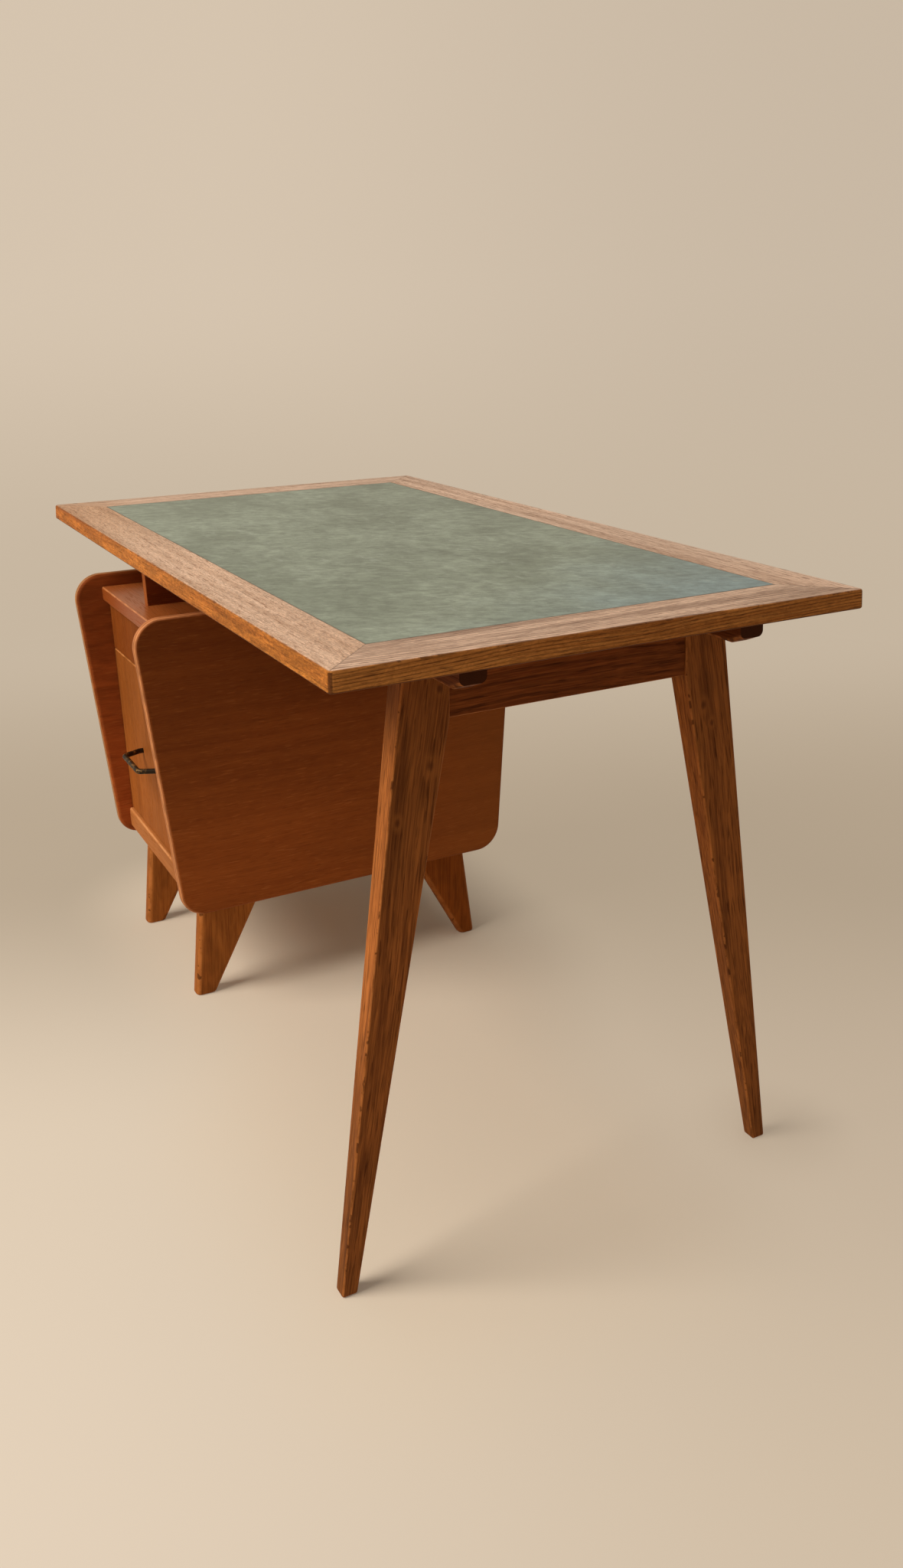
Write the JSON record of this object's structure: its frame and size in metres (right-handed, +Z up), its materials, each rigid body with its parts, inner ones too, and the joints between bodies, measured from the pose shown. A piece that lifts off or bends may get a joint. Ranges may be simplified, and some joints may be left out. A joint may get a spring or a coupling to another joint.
{
  "type": "writing desk",
  "caption": "Mid-century writing desk with a framed, inlaid top, splayed tapered legs at one end and, at the other, a drawer pedestal between round-cornered side panels.",
  "frame": {"origin": "on the floor under the middle of the desk top", "axes": "+X along the desk from the pedestal to the leg frame, +Y away from the sitter, +Z up"},
  "size_m": [1.2, 0.695, 0.745],
  "materials": {
    "oak": "satin varnish, worn",
    "leg_oak": "satin varnish",
    "writing_surface": "mottled sage green linoleum, scuffed",
    "panel_veneer": "satin varnished veneer",
    "carcass_wood": "satin varnish",
    "foot_wood": "satin varnish",
    "plain_ply": "bare, sanded",
    "dowel_beech": "bare",
    "screw_steel": "dull",
    "handle_bronze": "dark, worn at the bends"
  },
  "bodies": {
    "desk_frame": {"top_rail_front": "oak", "top_rail_back": "oak", "top_rail_left": "oak", "top_rail_right": "oak", "leg_front": "leg_oak", "leg_back": "leg_oak", "leg_rail": "leg_oak", "bearer_front": "leg_oak", "bearer_back": "leg_oak", "top_inlay": "writing_surface", "side_panel_inner": "panel_veneer", "side_panel_outer": "panel_veneer", "pedestal_back": "panel_veneer", "shelf_board": "carcass_wood", "riser_board": "carcass_wood", "bottom_rail": "carcass_wood", "foot_front_inner": "foot_wood", "foot_front_outer": "foot_wood", "foot_back_inner": "foot_wood", "foot_back_outer": "foot_wood", "top_core": "plain_ply", "drawer_divider": "plain_ply", "bottom_board": "plain_ply", "mitre_splines": "dowel_beech", "bearer_dowels": "dowel_beech", "carcass_dowels": "dowel_beech", "bearer_screws": "screw_steel", "riser_screws": "screw_steel", "foot_screws": "screw_steel"},
    "upper_drawer": {"upper_drawer_front": "carcass_wood", "upper_drawer_side_inner": "plain_ply", "upper_drawer_side_outer": "plain_ply", "upper_drawer_back": "plain_ply", "upper_drawer_bottom": "plain_ply"},
    "lower_drawer": {"lower_drawer_front": "carcass_wood", "lower_drawer_side_inner": "plain_ply", "lower_drawer_side_outer": "plain_ply", "lower_drawer_back": "plain_ply", "lower_drawer_bottom": "plain_ply", "bow_handle": "handle_bronze", "handle_screws": "screw_steel"}
  },
  "joints": [
    {"name": "upper_drawer_slide", "type": "slide", "parent": "desk_frame", "child": "upper_drawer", "axis": [0, -1, 0], "range_m": [0, 0.36]},
    {"name": "lower_drawer_slide", "type": "slide", "parent": "desk_frame", "child": "lower_drawer", "axis": [0, -1, 0], "range_m": [0, 0.34]}
  ]
}
